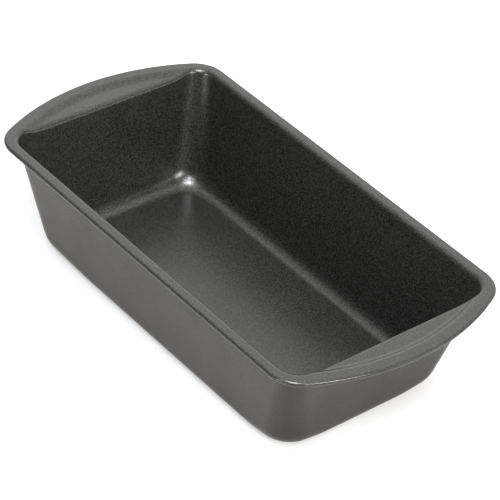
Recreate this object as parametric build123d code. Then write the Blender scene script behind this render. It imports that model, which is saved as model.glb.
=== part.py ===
from build123d import *
from math import atan2, cos, degrees, radians, sin, sqrt, atan
import os

# A loaf pan drawn from one steel sheet, coated on both faces, with its edge rolled round a wire.
# Millimetres. +X runs along the pan to one handle, +Y across it, +Z up.
# The origin is the middle of the underside, on the plane that the pan rests on.

# --- overall ---
LENGTH = 277.0          # over the two handles
WIDTH = 143.5           # over the rolled edges
HEIGHT = 66.0           # resting plane to the flat of the rim
HANDLE_BOW = 140.0      # plan radius of the bowed outer edge of each handle
RIM_CORNER = 18.2       # plan radius between a handle bow and a long side

# --- the sheet, from the food side down ---
FOOD_COAT = 0.12        # non-stick film that the loaf touches
STEEL = 0.50            # drawn steel sheet
BACK_COAT = 0.12        # film on the underside and the outside
SHEET = FOOD_COAT + STEEL + BACK_COAT

# --- rolled edge ---
CURL = 1.5              # outer radius of the roll
CURL_START = 90         # degrees, the top of the roll, where it leaves the flat rim
CURL_TURN = 280         # degrees that the roll turns before the cut edge

# --- mouth and floor of the tub, food side ---
MOUTH_X = 120.0         # half length of the mouth, at the inner edge of the flat rim
MOUTH_Y = 66.5          # half width of the mouth
MOUTH_CORNER = 12.5     # plan radius of that edge
MOUTH_BEND = 3.0        # radius of the bend from the rim into the wall
WALL_SET = 1.76         # how far the wall starts inside the edge of the flat rim
FLOOR_X = 104.7         # half length of the floor, before its fillet
FLOOR_Y = 53.0          # half width of the floor, before its fillet
FLOOR_CORNER = 19.5     # plan radius of the floor's corners, before its fillet
FLOOR_FILLET = 8.0      # radius between floor and wall

# --- sunk crescent in each handle ---
LEDGE_DROP = 1.9        # how far the crescent lies below the rim
LEDGE_RAMP = 6.0        # plan width of the ramp from the rim down to the crescent
LEDGE_RAMP_INSET = 8.7  # from the outer edge of the handle to the middle of that ramp
LEDGE_BEND_SPAN = 43.0  # half length of the rounded bend from the crescent into the wall

AIR_TOP = HEIGHT + 4.0  # the tool solids end here, above the pan
BOW_CENTRE = LENGTH / 2 - HANDLE_BOW


def polar(centre_x, centre_y, radius, angle):
    """A plan point on a circle, angle in degrees."""
    return (centre_x + radius * cos(radians(angle)), centre_y + radius * sin(radians(angle)))


def rim_outline(inset):
    """The plan outline of the rim, moved in by inset: two straight sides, two bows, four corners."""
    bow = HANDLE_BOW - inset
    corner = RIM_CORNER - inset
    half_width = WIDTH / 2 - inset
    corner_y = half_width - corner
    corner_x = BOW_CENTRE + sqrt((bow - corner) ** 2 - corner_y**2)
    meet = degrees(atan2(corner_y, corner_x - BOW_CENTRE))
    side = Line((-corner_x, -half_width), (corner_x, -half_width))
    near_corner = ThreePointArc(
        polar(corner_x, -corner_y, corner, -90),
        polar(corner_x, -corner_y, corner, -(90 + meet) / 2),
        polar(corner_x, -corner_y, corner, -meet),
    )
    handle = ThreePointArc(
        polar(BOW_CENTRE, 0, bow, -meet),
        polar(BOW_CENTRE, 0, bow, 0),
        polar(BOW_CENTRE, 0, bow, meet),
    )
    half = [side, near_corner, handle, near_corner.mirror(Plane.XZ)]
    other_half = [edge.rotate(Axis.Z, 180) for edge in half]
    return Wire(half + other_half)


def air_over_rim(level):
    """The air above a flat rim at this level, out to where the roll starts."""
    return extrude(Plane.XY.offset(level) * make_face(rim_outline(CURL)), amount=AIR_TOP - level)


def air_in_tub(depth):
    """The air inside the tub, with its walls and floor moved out square to themselves by depth."""
    floor_z = SHEET - depth
    rise = (AIR_TOP - SHEET) / (HEIGHT - SHEET)
    grow_x = MOUTH_X - WALL_SET - FLOOR_X
    grow_y = MOUTH_Y - WALL_SET - FLOOR_Y
    lean_x = atan(grow_x / (HEIGHT - SHEET))
    lean_y = atan(grow_y / (HEIGHT - SHEET))
    floor_x = FLOOR_X + depth * (1 - sin(lean_x)) / cos(lean_x)
    floor_y = FLOOR_Y + depth * (1 - sin(lean_y)) / cos(lean_y)
    top_x = FLOOR_X + grow_x * rise + depth / cos(lean_x)
    top_y = FLOOR_Y + grow_y * rise + depth / cos(lean_y)
    floor = RectangleRounded(2 * floor_x, 2 * floor_y, FLOOR_CORNER + depth)
    top = RectangleRounded(2 * top_x, 2 * top_y, MOUTH_CORNER - WALL_SET + depth)
    tub = loft([Plane.XY.offset(floor_z) * floor, Plane.XY.offset(AIR_TOP) * top], ruled=True)
    floor_edges = [edge for edge in tub.edges() if abs(edge.center().Z - floor_z) < 0.001]
    return fillet(floor_edges, FLOOR_FILLET + depth)


def flared_tub(depth, drop):
    """The tub's air joined to the air over a rim that is lowered by drop, with the bend between."""
    level = HEIGHT - drop - depth
    air = air_over_rim(level) + air_in_tub(depth)
    mouth = [
        edge
        for edge in air.edges()
        if abs(edge.center().Z - level) < 0.001
        and abs((edge @ 0.5).Y) < MOUTH_Y + 0.1
        and abs((edge @ 0.5).X) < MOUTH_X + 0.1
    ]
    return air.fillet(MOUTH_BEND - depth, mouth)


def air_over_ledge(depth):
    """The air above the sunk crescent of one handle: an S-shaped ramp turned about the bow's centre."""
    turn = 2 * atan(LEDGE_DROP / LEDGE_RAMP)
    bend = LEDGE_RAMP / 2 / sin(turn)
    outer = HANDLE_BOW - LEDGE_RAMP_INSET + LEDGE_RAMP / 2
    inner = outer - LEDGE_RAMP
    rim_z = HEIGHT - depth
    ledge_z = rim_z - LEDGE_DROP
    upper = bend - depth
    lower = bend + depth
    middle = (outer - upper * sin(turn), HEIGHT - bend + upper * cos(turn))
    upper_arc = ThreePointArc(
        (outer, rim_z),
        (outer - upper * sin(turn / 2), HEIGHT - bend + upper * cos(turn / 2)),
        middle,
    )
    lower_arc = ThreePointArc(
        middle,
        (inner + lower * sin(turn / 2), HEIGHT - LEDGE_DROP + bend - lower * cos(turn / 2)),
        (inner, ledge_z),
    )
    start = MOUTH_X - MOUTH_CORNER - BOW_CENTRE - 4 * MOUTH_CORNER
    floor = Polyline((inner, ledge_z), (start, ledge_z), (start, rim_z), (outer, rim_z))
    section = Plane.XZ * make_face(Wire([upper_arc, lower_arc] + floor.edges()))
    half_turn = degrees(atan2(MOUTH_Y - MOUTH_CORNER, MOUTH_X - MOUTH_CORNER - BOW_CENTRE))
    crescent = revolve(section.rotate(Axis.Z, -half_turn), Axis.Z, 2 * half_turn)
    return crescent.moved(Location((BOW_CENTRE, 0, 0)))


def air(depth):
    """All the air on the food side, down to a surface at this depth through the sheet."""
    ledge = air_over_ledge(depth)
    bend_zone = Box(2 * LENGTH, 2 * LEDGE_BEND_SPAN, 2 * HEIGHT) - Box(
        2 * (MOUTH_X - MOUTH_CORNER), WIDTH, 2 * HEIGHT
    )
    clear = extrude(Rectangle(2 * LENGTH, WIDTH), amount=HEIGHT - LEDGE_DROP - depth)
    ledge_bend = flared_tub(depth, LEDGE_DROP) & bend_zone & clear
    return flared_tub(depth, 0) + ledge + ledge.mirror(Plane.YZ) + ledge_bend


def edge_path():
    """The line that the middle of the rolled edge follows."""
    return rim_outline(CURL).moved(Location((0, 0, HEIGHT - CURL)))


def section_plane(path):
    """A plane across the start of the path, with x pointing out of the pan and y pointing up."""
    return Plane(origin=path @ 0, x_dir=(0, -1, 0), z_dir=(-1, 0, 0))


def roll(depth_from, depth_to):
    """The rolled edge of one layer of the sheet, as a ring with a C-shaped section."""
    outer = CURL - depth_from
    inner = CURL - depth_to
    middle = CURL_START - CURL_TURN / 2
    end = CURL_START - CURL_TURN
    outside = ThreePointArc(
        polar(0, 0, outer, CURL_START), polar(0, 0, outer, middle), polar(0, 0, outer, end)
    )
    inside = ThreePointArc(
        polar(0, 0, inner, CURL_START), polar(0, 0, inner, middle), polar(0, 0, inner, end)
    )
    start_cut = Line(inside @ 0, outside @ 0)
    end_cut = Line(outside @ 1, inside @ 1)
    section = make_face(Wire([outside, end_cut, inside, start_cut]))
    path = edge_path()
    return sweep(section_plane(path) * section, path=path)


def layer(depth_from, depth_to):
    """One layer of the sheet, between two depths from the food side."""
    return air(depth_to) - air(depth_from) + roll(depth_from, depth_to)


def rim_wire():
    """The steel wire that the edge is rolled round."""
    path = edge_path()
    return sweep(section_plane(path) * Circle(CURL - SHEET), path=path)


def build():
    steel_top = FOOD_COAT
    steel_bottom = FOOD_COAT + STEEL
    return {
        "food_side_coating": layer(0, steel_top),
        "pan_body": layer(steel_top, steel_bottom),
        "outside_coating": layer(steel_bottom, SHEET),
        "rim_wire": rim_wire(),
    }


os.makedirs("parts", exist_ok=True)
for name, shape in build().items():
    export_step(shape, f"parts/{name}.step")
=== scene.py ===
import bpy
import numpy as np
from mathutils import Matrix, Vector


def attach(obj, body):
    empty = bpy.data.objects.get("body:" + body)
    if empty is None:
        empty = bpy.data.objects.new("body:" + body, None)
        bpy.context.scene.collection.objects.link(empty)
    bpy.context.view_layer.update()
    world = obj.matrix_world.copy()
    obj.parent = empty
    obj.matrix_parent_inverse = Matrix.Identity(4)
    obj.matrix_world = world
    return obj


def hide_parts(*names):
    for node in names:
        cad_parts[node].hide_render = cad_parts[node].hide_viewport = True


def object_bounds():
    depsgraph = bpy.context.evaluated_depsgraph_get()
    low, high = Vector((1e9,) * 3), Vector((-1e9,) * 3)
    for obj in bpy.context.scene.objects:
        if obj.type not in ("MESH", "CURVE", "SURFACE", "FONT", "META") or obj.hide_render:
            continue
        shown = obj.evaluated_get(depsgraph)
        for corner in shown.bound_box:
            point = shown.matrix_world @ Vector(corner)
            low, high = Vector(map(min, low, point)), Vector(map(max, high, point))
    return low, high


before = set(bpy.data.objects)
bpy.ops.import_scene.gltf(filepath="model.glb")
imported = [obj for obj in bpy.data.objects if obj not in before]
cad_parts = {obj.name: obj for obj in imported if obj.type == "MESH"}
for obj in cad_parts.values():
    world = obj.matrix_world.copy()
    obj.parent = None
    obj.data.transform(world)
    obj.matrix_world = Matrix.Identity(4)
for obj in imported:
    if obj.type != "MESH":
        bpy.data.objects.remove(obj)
cad_low, cad_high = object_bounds()

# A loaf pan: one sheet of coated steel with its edge rolled round a wire. Metres, in the CAD frame.
MM = 0.001

# --- overall, from the frame ---
LENGTH = cad_high[0] - cad_low[0]
WIDTH = cad_high[1] - cad_low[1]
HEIGHT = cad_high[2] - cad_low[2]

# --- the sheet, from the food side down, as in part.py ---
FOOD_COAT = 0.12 * MM
STEEL = 0.50 * MM
BACK_COAT = 0.12 * MM
SHEET = FOOD_COAT + STEEL + BACK_COAT

# --- rim, as in part.py ---
HANDLE_BOW = 140.0 * MM
RIM_CORNER = 18.2 * MM
CURL = 1.5 * MM
CURL_TURN = np.radians(280)

# --- tub, as in part.py except where a comment says otherwise ---
MOUTH_X = 120.0 * MM
MOUTH_Y = 66.5 * MM
MOUTH_CORNER = 12.5 * MM
MOUTH_BEND = 3.0 * MM
WALL_SET = 1.76 * MM
FLOOR_X = 104.7 * MM
FLOOR_Y = 53.0 * MM
FLOOR_CORNER = 16.0 * MM     # 19.5 in part.py, whose fillet is smaller round the corners
FLOOR_FILLET = 8.0 * MM
CORNER_FILLET = 14.0 * MM    # not in part.py: the floor's fillet grows to this round the corners
CORNER_RUN_OUT = 16.0 * MM   # and takes this much of each straight to do so

# --- sunk crescent in each handle, as in part.py ---
LEDGE_DROP = 1.9 * MM
LEDGE_RAMP = 6.0 * MM
LEDGE_RAMP_INSET = 8.7 * MM

# --- how finely the sheet is meshed ---
END_STEPS = 90          # along the straight of each end wall
SIDE_STEPS = 64         # along the straight of each long wall
CORNER_STEPS = 24       # round each corner
FLOOR_RINGS = 8
FILLET_ROWS = 14
WALL_ROWS = 16
BEND_ROWS = 12
LEDGE_ROWS = 12
RAMP_ROWS = 20
FLAT_ROWS = 6
CURL_ROWS = 30
LEAST_LEDGE = 0.5 * MM  # the ledge and the ramp keep at least this much width where they run out
FLOOR_RING_POWER = 0.7  # under 1, so that the floor's rings lie closer together near the fillet
SHARP_EDGE = np.radians(50)
TINY = 1e-9
TINY_ANGLE = 1e-6
CORNER_SIGNS = ((1, 1), (-1, 1), (-1, -1), (1, -1))

# --- how the rim's slope and the bend at the mouth are found ---
BEND_SEARCH = 8.0 * MM  # the bend meets the wall no lower than this below the rim
BEND_HALVINGS = 40
RIM_SEARCHES = ((5 * MM, 401), (0.05 * MM, 101))    # reach and number of tries, coarse then fine
SLOPE_STEP = 0.01 * MM


# ---------------------------------------------------------------- plan outline

RIM_CORNER_Y = WIDTH / 2 - RIM_CORNER
BOW_CENTRE = LENGTH / 2 - HANDLE_BOW
RIM_CORNER_X = BOW_CENTRE + np.sqrt((HANDLE_BOW - RIM_CORNER) ** 2 - RIM_CORNER_Y**2)
BOW_MEET = np.arctan2(RIM_CORNER_Y, RIM_CORNER_X - BOW_CENTRE)


def rim_outline(plan):
    """How far each plan point lies inside the rim's outline, and the outward direction there."""
    side = np.where(plan < 0, -1.0, 1.0)
    x, y = np.abs(plan).T
    on_side = np.stack([np.zeros_like(x), np.ones_like(x)], 1)
    bow = np.stack([x - BOW_CENTRE, y], 1)
    corner = np.stack([x - RIM_CORNER_X, y - RIM_CORNER_Y], 1)
    bow_reach = np.linalg.norm(bow, axis=1)
    corner_reach = np.maximum(np.linalg.norm(corner, axis=1), TINY)
    is_side = x <= RIM_CORNER_X
    is_bow = ~is_side & (np.arctan2(bow[:, 1], bow[:, 0]) <= BOW_MEET)
    inset = np.where(is_side, WIDTH / 2 - y, RIM_CORNER - corner_reach)
    inset = np.where(is_bow, HANDLE_BOW - bow_reach, inset)
    outward = np.where(is_side[:, None], on_side, corner / corner_reach[:, None])
    outward = np.where(is_bow[:, None], bow / bow_reach[:, None], outward)
    return inset, outward * side


# ---------------------------------------------------------------- section of the rim

RAMP_TURN = 2 * np.arctan(LEDGE_DROP / LEDGE_RAMP)
RAMP_BEND = LEDGE_RAMP / 2 / np.sin(RAMP_TURN)
RAMP_START = LEDGE_RAMP_INSET - LEDGE_RAMP / 2
RAMP_END = LEDGE_RAMP_INSET + LEDGE_RAMP / 2


def rim_depth(inset):
    """How far the sheet lies below the rim's flat, at this distance in from the outline."""
    down = RAMP_BEND - np.sqrt(np.maximum(RAMP_BEND**2 - np.clip(inset - RAMP_START, 0, None) ** 2, 0))
    up = RAMP_BEND - np.sqrt(np.maximum(RAMP_BEND**2 - np.clip(RAMP_END - inset, 0, None) ** 2, 0))
    depth = np.where(inset < LEDGE_RAMP_INSET, down, LEDGE_DROP - up)
    return np.where(inset > RAMP_END, LEDGE_DROP, depth)


def rim_slope(inset):
    """The slope of that depth."""
    return (rim_depth(inset + SLOPE_STEP) - rim_depth(inset - SLOPE_STEP)) / (2 * SLOPE_STEP)


def nearest_on_rim(inset, height):
    """The rim section's nearest point to each (inset, height): its inset, and how far away it is."""
    best = inset
    for reach, count in RIM_SEARCHES:
        tries = best[:, None] + np.linspace(-reach, reach, count)[None]
        gap = np.hypot(tries - inset[:, None], HEIGHT - rim_depth(tries) - height[:, None])
        best = np.take_along_axis(tries, gap.argmin(1)[:, None], 1)[:, 0]
    return best, gap.min(1)


# ---------------------------------------------------------------- the tub's walls

def quarter_turns():
    """Each station round the tub: which straight it is on, how far along it, and its plan direction."""
    stations = []
    for corner in range(4):
        start = corner * np.pi / 2
        along_end = corner % 2 == 0
        steps = END_STEPS if along_end else SIDE_STEPS
        for k in range(steps):
            stations.append((start, 2 * k / steps - 1))
        for k in range(CORNER_STEPS):
            stations.append((start + k / CORNER_STEPS * np.pi / 2, 1.0 if k == 0 else None))
    return stations


def station_table(stations):
    """For each station, its plan direction and its signed place on the straights, as arrays."""
    direction = []
    centre_sign = []
    for angle, along in stations:
        quarter = int(np.floor(angle / (np.pi / 2) + TINY)) % 4
        direction.append((np.cos(angle), np.sin(angle)))
        corner_sign = np.array(CORNER_SIGNS[quarter], float)
        if along is not None:
            tangent = np.array([-np.sin(angle), np.cos(angle)])
            outward = np.array([np.cos(angle), np.sin(angle)])
            corner_sign = outward + tangent * along
        centre_sign.append(corner_sign)
    return np.array(direction), np.array(centre_sign)


def wall_point(direction, centre_sign, z):
    """The food-side wall at height z on each station's line from floor to mouth, and its outward normal."""
    t = ((z - SHEET) / (HEIGHT - SHEET))[:, None]
    low_corner = np.array([FLOOR_X - FLOOR_CORNER, FLOOR_Y - FLOOR_CORNER])
    wall_corner = MOUTH_CORNER - WALL_SET
    high_corner = np.array([MOUTH_X - WALL_SET - wall_corner, MOUTH_Y - WALL_SET - wall_corner])
    centre = centre_sign * (low_corner + (high_corner - low_corner) * t)
    radius = FLOOR_CORNER + (wall_corner - FLOOR_CORNER) * t
    plan = centre + radius * direction
    grow = (np.abs(direction) * (high_corner - low_corner)).sum(1) + wall_corner - FLOOR_CORNER
    lean = np.arctan(grow / (HEIGHT - SHEET))
    normal = np.column_stack([direction * np.cos(lean)[:, None], -np.sin(lean)])
    return np.column_stack([plan, z]), normal


def floor_fillet(direction, centre_sign):
    """The fillet's radius at each station: largest in the middle of a corner, with a smooth run-out."""
    along_end = np.abs(centre_sign[:, 1]) < 1
    straight = np.where(along_end, FLOOR_Y, FLOOR_X) - FLOOR_CORNER
    past_corner = (1 - np.abs(centre_sign).min(1)) * straight
    turn = np.arctan2(np.abs(direction[:, 1]), np.abs(direction[:, 0]))
    from_middle = past_corner + FLOOR_CORNER * np.abs(turn - np.pi / 4)
    reach = FLOOR_CORNER * np.pi / 4 + CORNER_RUN_OUT
    share = np.cos(np.pi / 2 * np.clip(from_middle / reach, 0, 1)) ** 2
    return FLOOR_FILLET + (CORNER_FILLET - FLOOR_FILLET) * share


def turn_between(start, end, t):
    """Unit vectors turned from start to end by the share t."""
    angle = np.arccos(np.clip((start * end).sum(1), -1, 1))[:, None]
    safe = np.where(angle < TINY_ANGLE, 1, np.sin(angle))
    mixed = (np.sin((1 - t) * angle) * start + np.sin(t * angle) * end) / safe
    return np.where(angle < TINY_ANGLE, start, mixed)


# ---------------------------------------------------------------- the food-side surface
# Each function that ends in _rows gives rows of points round the pan, and the unit way through the
# sheet at each point.

def upward(count):
    """That many unit vectors, all pointing up."""
    return np.tile([0.0, 0.0, 1.0], (count, 1))


def on_rim(outline, outward, at):
    """The rim's points at these distances in from its outline."""
    return np.column_stack([outline - outward * at[:, None], HEIGHT - rim_depth(at)])


def bend_at_mouth(direction, centre_sign, wall_normal):
    """Finds the bend at the mouth by halving: a ball that touches both wall and rim.

    Gives the height where it meets the wall, the ball's centre, how far inside the outline it touches
    the rim, and the nearest outline point with its outward direction.
    """
    low = np.full(len(direction), HEIGHT - BEND_SEARCH)
    high = np.full(len(direction), HEIGHT)
    for _ in range(BEND_HALVINGS):
        middle = (low + high) / 2
        centre = wall_point(direction, centre_sign, middle)[0] + MOUTH_BEND * wall_normal
        inset, _outward = rim_outline(centre[:, :2])
        gap = nearest_on_rim(inset, centre[:, 2])[1]
        too_high = (gap < MOUTH_BEND) | (centre[:, 2] > HEIGHT - rim_depth(inset))
        high = np.where(too_high, middle, high)
        low = np.where(too_high, low, middle)
    centre = wall_point(direction, centre_sign, low)[0] + MOUTH_BEND * wall_normal
    inset, outward = rim_outline(centre[:, :2])
    rim_inset, _gap = nearest_on_rim(inset, centre[:, 2])
    outline = centre[:, :2] + outward * inset[:, None]
    return low, centre, rim_inset, outline, outward


def floor_rows(edge):
    """The flat floor, from near its middle to just inside the foot of the fillet."""
    for k in range(1, FLOOR_RINGS):
        share = (k / FLOOR_RINGS) ** FLOOR_RING_POWER
        yield np.column_stack([edge[:, :2] * share, edge[:, 2]]), -upward(len(edge))


def fillet_rows(centre, radius, wall_normal):
    """The fillet between floor and wall."""
    for k in range(FILLET_ROWS + 1):
        way = turn_between(-upward(len(centre)), wall_normal, k / FILLET_ROWS)
        yield centre + radius[:, None] * way, way


def wall_rows(direction, centre_sign, wall_normal, bottom, top):
    """The sloping wall between the fillet and the bend at the mouth."""
    for k in range(1, WALL_ROWS):
        z = bottom + (top - bottom) * k / WALL_ROWS
        yield wall_point(direction, centre_sign, z)[0], wall_normal


def bend_rows(centre, wall_normal, rim_point):
    """The bend from the wall out to the rim, or to the crescent's ledge."""
    rim_touch = (rim_point - centre) / MOUTH_BEND
    for k in range(BEND_ROWS + 1):
        way = turn_between(-wall_normal, rim_touch, k / BEND_ROWS)
        yield centre + MOUTH_BEND * way, -way


def rim_rows(outline, outward, rim_inset):
    """The ledge of the crescent, its ramp, and the flat of the rim out to where the roll starts."""
    count = len(outline)
    outward3 = np.column_stack([outward, np.zeros(count)])
    ramp_inner = np.minimum(RAMP_END, rim_inset - LEAST_LEDGE)
    ramp_outer = np.minimum(RAMP_START, ramp_inner - LEAST_LEDGE)
    groups = (
        (rim_inset, ramp_inner, LEDGE_ROWS),
        (ramp_inner, ramp_outer, RAMP_ROWS),
        (ramp_outer, np.full(count, CURL), FLAT_ROWS),
    )
    for start, end, steps in groups:
        for k in range(1, steps + 1):
            at = start + (end - start) * k / steps
            way = -upward(count) - outward3 * rim_slope(at)[:, None]
            yield on_rim(outline, outward, at), way / np.linalg.norm(way, axis=1)[:, None]


def curl_rows(outline, outward):
    """The rolled edge, from the top of the roll round to the cut edge."""
    count = len(outline)
    outward3 = np.column_stack([outward, np.zeros(count)])
    centre = np.column_stack([outline - outward * CURL, np.full(count, HEIGHT - CURL)])
    for k in range(1, CURL_ROWS + 1):
        angle = CURL_TURN * k / CURL_ROWS
        way = outward3 * np.sin(angle) + upward(count) * np.cos(angle)
        yield centre + CURL * way, -way


def sheet_surface():
    """Rows of food-side points from the floor's middle to the cut edge, and the way through the sheet."""
    direction, centre_sign = station_table(quarter_turns())
    count = len(direction)
    radius = floor_fillet(direction, centre_sign)
    lean_z = wall_point(direction, centre_sign, np.full(count, SHEET))[1][:, 2]
    fillet_top = SHEET + radius * (1 + lean_z)
    fillet_point, wall_normal = wall_point(direction, centre_sign, fillet_top)
    fillet_centre = fillet_point - radius[:, None] * wall_normal
    bend_bottom, bend_centre, rim_inset, outline, outward = bend_at_mouth(
        direction, centre_sign, wall_normal
    )
    surface = [
        *floor_rows(fillet_centre - upward(count) * radius[:, None]),
        *fillet_rows(fillet_centre, radius, wall_normal),
        *wall_rows(direction, centre_sign, wall_normal, fillet_top, bend_bottom),
        *bend_rows(bend_centre, wall_normal, on_rim(outline, outward, rim_inset)),
        *rim_rows(outline, outward, rim_inset),
        *curl_rows(outline, outward),
    ]
    rows = np.array([points for points, _way in surface])
    through = np.array([way for _points, way in surface])
    return rows, through


def layer_mesh(name, rows, through, depth_from, depth_to):
    """One layer of the sheet as a closed shell between two depths from the food side."""
    ring_count, station_count, _three = rows.shape
    upper = (rows + through * depth_from).reshape(-1, 3)
    lower = (rows + through * depth_to).reshape(-1, 3)
    middle = rows[0, :, 2].mean()
    points = np.vstack([upper, lower, [[0, 0, middle - depth_from], [0, 0, middle - depth_to]]])
    lower_start = ring_count * station_count
    upper_middle = 2 * lower_start
    lower_middle = upper_middle + 1
    station = np.arange(station_count)
    following = np.roll(station, -1)
    faces = []
    for ring in range(ring_count - 1):
        here = ring * station_count
        there = here + station_count
        quads = np.column_stack([here + station, there + station, there + following, here + following])
        faces.extend(quads.tolist())
        faces.extend((quads[:, ::-1] + lower_start).tolist())
    fans = np.column_stack([np.full(station_count, upper_middle), station, following])
    faces.extend(fans.tolist())
    under = np.column_stack([np.full(station_count, lower_middle), following, station])
    under[:, 1:] += lower_start
    faces.extend(under.tolist())
    last = (ring_count - 1) * station_count
    edge = np.column_stack(
        [last + station, lower_start + last + station, lower_start + last + following, last + following]
    )
    faces.extend(edge.tolist())
    mesh = bpy.data.meshes.new(name)
    mesh.from_pydata(points.tolist(), [], faces)
    mesh.validate()
    mesh.shade_smooth()
    mesh.set_sharp_from_angle(angle=SHARP_EDGE)
    piece = bpy.data.objects.new(name, mesh)
    bpy.context.scene.collection.objects.link(piece)
    return piece


# ---------------------------------------------------------------- materials

# ripples to the metre
FLAKE_GRAIN = 1080
FLAKE_TILT = 1300
ORANGE_PEEL = 800
CLOUDS = 45
ROLLING_GRAIN = 1500
SCUFFS = 420

# shared by the films and the steel
NOISE_LOW = 0.3                 # nearly all of a noise texture lies between these two
NOISE_HIGH = 0.7
CLOUD_DETAIL = 4
RELIEF = 0.1 * MM               # height of a bump at full strength

# non-stick film
GRID_TURN = (0.6, 0.4, 0.9)     # radians, any turn that lines up with no face
FLAKE_RANGE = (0.47, 0.67)      # part of the noise over which binder gives way to flake
TILT_AMOUNT = 0.08
NOISE_MIDDLE = (0.5, 0.5, 0.5)  # what a noise texture's colours lie around
PEEL_STRENGTH = 0.12
ROUGHNESS_SPREAD = 0.03

# rub marks on the underside
SCUFF_STRETCH = 0.06            # under 1, so that the marks run along the pan
SCUFF_HEIGHT = 0.6 * MM         # none above this
SCUFF_DETAIL = 4
SCUFF_RANGE = (0.56, 0.72)
SCUFF_MOST = 0.8

# bare steel
STEEL_DARK = (0.46, 0.46, 0.45)
STEEL_LIGHT = (0.60, 0.60, 0.59)
STEEL_STRETCH = 0.05
STEEL_GRAIN_DETAIL = 3
STEEL_ROUGHNESS = (0.28, 0.42)
STEEL_BUMP = 0.2


def new_material(name):
    """An empty node material: itself, its nodes, its links and its shader."""
    material = bpy.data.materials.new(name)
    material.use_nodes = True
    nodes = material.node_tree.nodes
    links = material.node_tree.links
    return material, nodes, links, nodes["Principled BSDF"]


def set_material(piece, material):
    """Gives the piece that material and no other."""
    piece.data.materials.clear()
    piece.data.materials.append(material)


def pan_place(nodes):
    """The place on the pan, in metres."""
    return nodes.new("ShaderNodeTexCoord").outputs["Object"]


def turned(nodes, links, place):
    """The place, turned so that no face lies along the textures' own grid."""
    mapping = nodes.new("ShaderNodeMapping")
    mapping.inputs["Rotation"].default_value = GRID_TURN
    links.new(place, mapping.inputs["Vector"])
    return mapping.outputs["Vector"]


def drawn_out(nodes, links, place, stretch):
    """The place, squeezed along X, which draws a texture out along the pan."""
    mapping = nodes.new("ShaderNodeMapping")
    mapping.inputs["Scale"].default_value = (stretch, 1.0, 1.0)
    links.new(place, mapping.inputs["Vector"])
    return mapping.outputs["Vector"]


def noise(nodes, links, where, scale, detail, output="Fac"):
    """A noise texture of that many ripples to the metre."""
    texture = nodes.new("ShaderNodeTexNoise")
    texture.inputs["Scale"].default_value = scale
    texture.inputs["Detail"].default_value = detail
    links.new(where, texture.inputs["Vector"])
    return texture.outputs[output]


def spread(nodes, links, value, low, high, start=NOISE_LOW, end=NOISE_HIGH):
    """The value between start and end, mapped to low and high."""
    mapping = nodes.new("ShaderNodeMapRange")
    mapping.inputs["From Min"].default_value = start
    mapping.inputs["From Max"].default_value = end
    mapping.inputs["To Min"].default_value = low
    mapping.inputs["To Max"].default_value = high
    links.new(value, mapping.inputs["Value"])
    return mapping.outputs["Result"]


def combined(nodes, links, operation, first, second):
    """One number made from two."""
    maths = nodes.new("ShaderNodeMath")
    maths.operation = operation
    links.new(first, maths.inputs[0])
    links.new(second, maths.inputs[1])
    return maths.outputs["Value"]


def mixed_colour(nodes, links, share, first, second):
    """The first colour where the share is 0, the second where it is 1."""
    colour = nodes.new("ShaderNodeMix")
    colour.data_type = "RGBA"
    colour.inputs["A"].default_value = (*first, 1)
    colour.inputs["B"].default_value = (*second, 1)
    links.new(share, colour.inputs["Factor"])
    return colour.outputs["Result"]


def bumped(nodes, links, height, strength):
    """A bump node that raises the surface by that height map."""
    bump = nodes.new("ShaderNodeBump")
    bump.inputs["Strength"].default_value = strength
    bump.inputs["Distance"].default_value = RELIEF
    links.new(height, bump.inputs["Height"])
    return bump


def tilt_flakes(nodes, links, where):
    """The surface normal, tipped a little at random from flake to flake."""
    centred = nodes.new("ShaderNodeVectorMath")
    centred.operation = "SUBTRACT"
    centred.inputs[1].default_value = NOISE_MIDDLE
    links.new(noise(nodes, links, where, FLAKE_TILT, 0, "Color"), centred.inputs[0])
    scaled = nodes.new("ShaderNodeVectorMath")
    scaled.operation = "SCALE"
    scaled.inputs["Scale"].default_value = TILT_AMOUNT
    links.new(centred.outputs["Vector"], scaled.inputs[0])
    surface = nodes.new("ShaderNodeNewGeometry")
    tipped = nodes.new("ShaderNodeVectorMath")
    tipped.operation = "ADD"
    links.new(surface.outputs["Normal"], tipped.inputs[0])
    links.new(scaled.outputs["Vector"], tipped.inputs[1])
    unit = nodes.new("ShaderNodeVectorMath")
    unit.operation = "NORMALIZE"
    links.new(tipped.outputs["Vector"], unit.inputs[0])
    return unit.outputs["Vector"]


def base_scuffs(nodes, links):
    """Rub marks from oven racks: short streaks on the flat underside, nothing higher up."""
    place = pan_place(nodes)
    apart = nodes.new("ShaderNodeSeparateXYZ")
    links.new(place, apart.inputs["Vector"])
    near_base = spread(nodes, links, apart.outputs["Z"], 1, 0, SCUFF_HEIGHT / 2, SCUFF_HEIGHT)
    along_pan = drawn_out(nodes, links, place, SCUFF_STRETCH)
    streaks = noise(nodes, links, along_pan, SCUFFS, SCUFF_DETAIL)
    marks = spread(nodes, links, streaks, 0, SCUFF_MOST, *SCUFF_RANGE)
    return combined(nodes, links, "MULTIPLY", near_base, marks)


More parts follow.
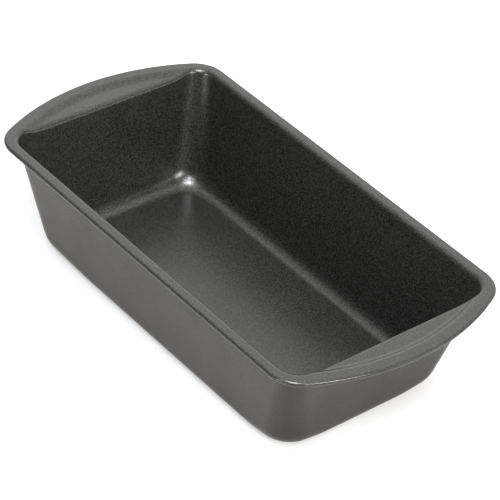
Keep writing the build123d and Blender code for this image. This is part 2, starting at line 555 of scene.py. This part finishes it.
def nonstick(name, binder, flake, shine_tint, refraction, roughness, scuffed):
    """Dark satin non-stick film: a binder of one colour with metal flakes of another in it."""
    material, nodes, links, shader = new_material(name)
    place = turned(nodes, links, pan_place(nodes))
    flakes = spread(nodes, links, noise(nodes, links, place, FLAKE_GRAIN, 1), 0, 1, *FLAKE_RANGE)
    if scuffed:
        flakes = combined(nodes, links, "MAXIMUM", flakes, base_scuffs(nodes, links))
    links.new(mixed_colour(nodes, links, flakes, binder, flake), shader.inputs["Base Color"])
    links.new(flakes, shader.inputs["Metallic"])
    cloud = noise(nodes, links, place, CLOUDS, CLOUD_DETAIL)
    smoothest = roughness - ROUGHNESS_SPREAD
    roughest = roughness + ROUGHNESS_SPREAD
    links.new(spread(nodes, links, cloud, smoothest, roughest), shader.inputs["Roughness"])
    bump = bumped(nodes, links, noise(nodes, links, place, ORANGE_PEEL, 1), PEEL_STRENGTH)
    links.new(tilt_flakes(nodes, links, place), bump.inputs["Normal"])
    links.new(bump.outputs["Normal"], shader.inputs["Normal"])
    shader.inputs["IOR"].default_value = refraction
    shader.inputs["Specular Tint"].default_value = (*shine_tint, 1)
    return material


def food_side_nonstick():
    """The smoother film on the food side and over the rolled edge."""
    return nonstick(
        "food_side_nonstick",
        binder=(0.0052, 0.0053, 0.0046),
        flake=(0.067, 0.0683, 0.064),
        shine_tint=(1.0, 0.99, 0.965),
        refraction=1.46,
        roughness=0.31,
        scuffed=False,
    )


def outside_nonstick():
    """The duller, browner film on the outside and the underside; its flakes are darker than the food side's
    partly as painted shade on the outer walls.
    """
    return nonstick(
        "outside_nonstick",
        binder=(0.0055, 0.0047, 0.0033),
        # flake colour: browner, and darker than the food side's in part as painted shade on the outer walls
        flake=(0.042, 0.038, 0.032),
        shine_tint=(1.0, 0.975, 0.92),
        refraction=1.34,
        roughness=0.36,
        scuffed=True,
    )


def bare_steel():
    """Rolled steel, with a faint grain along the pan and a cloudy roughness."""
    material, nodes, links, shader = new_material("bare_steel")
    place = pan_place(nodes)
    along_pan = drawn_out(nodes, links, place, STEEL_STRETCH)
    grain = noise(nodes, links, along_pan, ROLLING_GRAIN, STEEL_GRAIN_DETAIL)
    links.new(mixed_colour(nodes, links, grain, STEEL_DARK, STEEL_LIGHT), shader.inputs["Base Color"])
    cloud = noise(nodes, links, place, CLOUDS, CLOUD_DETAIL)
    links.new(spread(nodes, links, cloud, *STEEL_ROUGHNESS), shader.inputs["Roughness"])
    bump = bumped(nodes, links, grain, STEEL_BUMP)
    links.new(bump.outputs["Normal"], shader.inputs["Normal"])
    shader.inputs["Metallic"].default_value = 1.0
    return material


# ---------------------------------------------------------------- the pan

rows, through = sheet_surface()
steel_bottom = FOOD_COAT + STEEL
food_film = layer_mesh("food_side_film", rows, through, 0, FOOD_COAT)
back_film = layer_mesh("outside_film", rows, through, steel_bottom, SHEET)
steel = layer_mesh("steel_sheet", rows, through, FOOD_COAT, steel_bottom)

steel_material = bare_steel()
set_material(food_film, food_side_nonstick())
set_material(back_film, outside_nonstick())
set_material(steel, steel_material)
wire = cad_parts["rim_wire"]
for wire_slot in wire.material_slots:
    wire_slot.material = steel_material

for piece, node, slot_name in (
    (food_film, "food_side_coating", "nonstick_film"),
    (back_film, "outside_coating", "backing_film"),
    (steel, "pan_body", "steel_sheet"),
):
    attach(piece, "root")
    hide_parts(node)


# ---------------------------------------------------------------- studio

TABLE_REACH = 3.0               # from its middle to each side
TABLE_GAP = 0.2 * MM            # below the pan, so that the two faces don't flicker
TABLE_GREY = 0.37
TABLE_GLOW = 0.49
TABLE_ROUGHNESS = 0.9
SKY_FADE = (0.15, 0.88)         # cosines of the angle from the brightest way, where it is low and high
COOL_WHITE = (0.93, 0.96, 1.0)
WARM_WHITE = (1.0, 0.96, 0.91)
PLAIN_WHITE = (1.0, 1.0, 1.0)
SENSOR_WIDTH = 36               # millimetres, Blender's own unit for it


def add_floor():
    """A plain pale table, lit from beneath as well, so that the pan throws hardly any shadow on it."""
    mesh = bpy.data.meshes.new("floor")
    corners = [
        (-TABLE_REACH, -TABLE_REACH, 0),
        (TABLE_REACH, -TABLE_REACH, 0),
        (TABLE_REACH, TABLE_REACH, 0),
        (-TABLE_REACH, TABLE_REACH, 0),
    ]
    mesh.from_pydata(corners, [], [(0, 1, 2, 3)])
    floor = bpy.data.objects.new("floor", mesh)
    floor.location.z = cad_low[2] - TABLE_GAP
    bpy.context.scene.collection.objects.link(floor)
    material, _nodes, _links, shader = new_material("white_floor")
    shader.inputs["Base Color"].default_value = (TABLE_GREY, TABLE_GREY, TABLE_GREY, 1)
    shader.inputs["Emission Color"].default_value = (1, 1, 1, 1)
    shader.inputs["Emission Strength"].default_value = TABLE_GLOW
    shader.inputs["Roughness"].default_value = TABLE_ROUGHNESS
    set_material(floor, material)


def add_softbox(name, towards, distance, size, radiance, tint):
    """A square soft light in that direction from the pan, aimed at it."""
    lamp = bpy.data.lights.new(name, "AREA")
    lamp.shape = "SQUARE"
    lamp.size = size
    lamp.energy = radiance * np.pi * size**2
    lamp.color = tint
    light = bpy.data.objects.new(name, lamp)
    way = Vector(towards).normalized()
    light.location = way * distance
    light.rotation_euler = way.to_track_quat("Z", "Y").to_euler()
    light.visible_camera = False
    bpy.context.scene.collection.objects.link(light)


def set_sky(towards, low, high):
    """A white sky, brightest in that direction and dimmer away from it."""
    world = bpy.data.worlds.new("studio")
    bpy.context.scene.world = world
    world.use_nodes = True
    nodes = world.node_tree.nodes
    links = world.node_tree.links
    background = nodes["Background"]
    background.inputs["Color"].default_value = (1, 1, 1, 1)
    way = nodes.new("ShaderNodeTexCoord")
    towards_bright = nodes.new("ShaderNodeVectorMath")
    towards_bright.operation = "DOT_PRODUCT"
    towards_bright.inputs[1].default_value = Vector(towards).normalized()
    links.new(way.outputs["Generated"], towards_bright.inputs[0])
    strength = spread(nodes, links, towards_bright.outputs["Value"], low, high, *SKY_FADE)
    links.new(strength, background.inputs["Strength"])


def add_camera(azimuth, elevation, roll, distance, target, focal_pixels, frame_pixels):
    """A camera that looks at the target from that direction and distance, turned by its roll."""
    azimuth, elevation, roll = np.radians([azimuth, elevation, roll])
    back = Vector(
        (np.sin(azimuth) * np.cos(elevation), -np.cos(azimuth) * np.cos(elevation), np.sin(elevation))
    )
    right = (-back).cross(Vector((0, 0, 1))).normalized()
    up = right.cross(-back)
    rolled_right = right * np.cos(roll) + up * np.sin(roll)
    rolled_up = up * np.cos(roll) - right * np.sin(roll)
    data = bpy.data.cameras.new("camera")
    data.sensor_width = SENSOR_WIDTH
    data.lens = focal_pixels / frame_pixels * data.sensor_width
    camera = bpy.data.objects.new("camera", data)
    turn = Matrix((rolled_right, rolled_up, back)).transposed().to_4x4()
    camera.matrix_world = Matrix.Translation(Vector(target) + back * distance) @ turn
    bpy.context.scene.collection.objects.link(camera)
    bpy.context.scene.camera = camera


add_floor()
set_sky(towards=(-0.40, 0.58, 0.71), low=0.20, high=2.27)
add_softbox("key", (0.20, -0.24, 0.94), distance=1.6, size=0.36, radiance=85, tint=COOL_WHITE)
add_softbox("edge_light", (0.42, -0.46, 0.78), distance=1.6, size=0.26, radiance=70, tint=COOL_WHITE)
add_softbox("right_box", (0.90, -0.05, 0.42), distance=1.5, size=0.42, radiance=38, tint=WARM_WHITE)
add_softbox("left_box", (0.09, -0.97, 0.24), distance=1.5, size=0.42, radiance=17, tint=PLAIN_WHITE)
add_softbox("back_box", (0.83, 0.54, 0.14), distance=1.5, size=0.60, radiance=4.5, tint=PLAIN_WHITE)
add_camera(
    azimuth=47.27,
    elevation=37.26,
    roll=6.21,
    distance=1.2736,
    target=(-0.0034, 0.0106, HEIGHT / 2 - 0.0002),
    focal_pixels=2411,
    frame_pixels=500,
)
bpy.context.scene.view_settings.view_transform = "Standard"
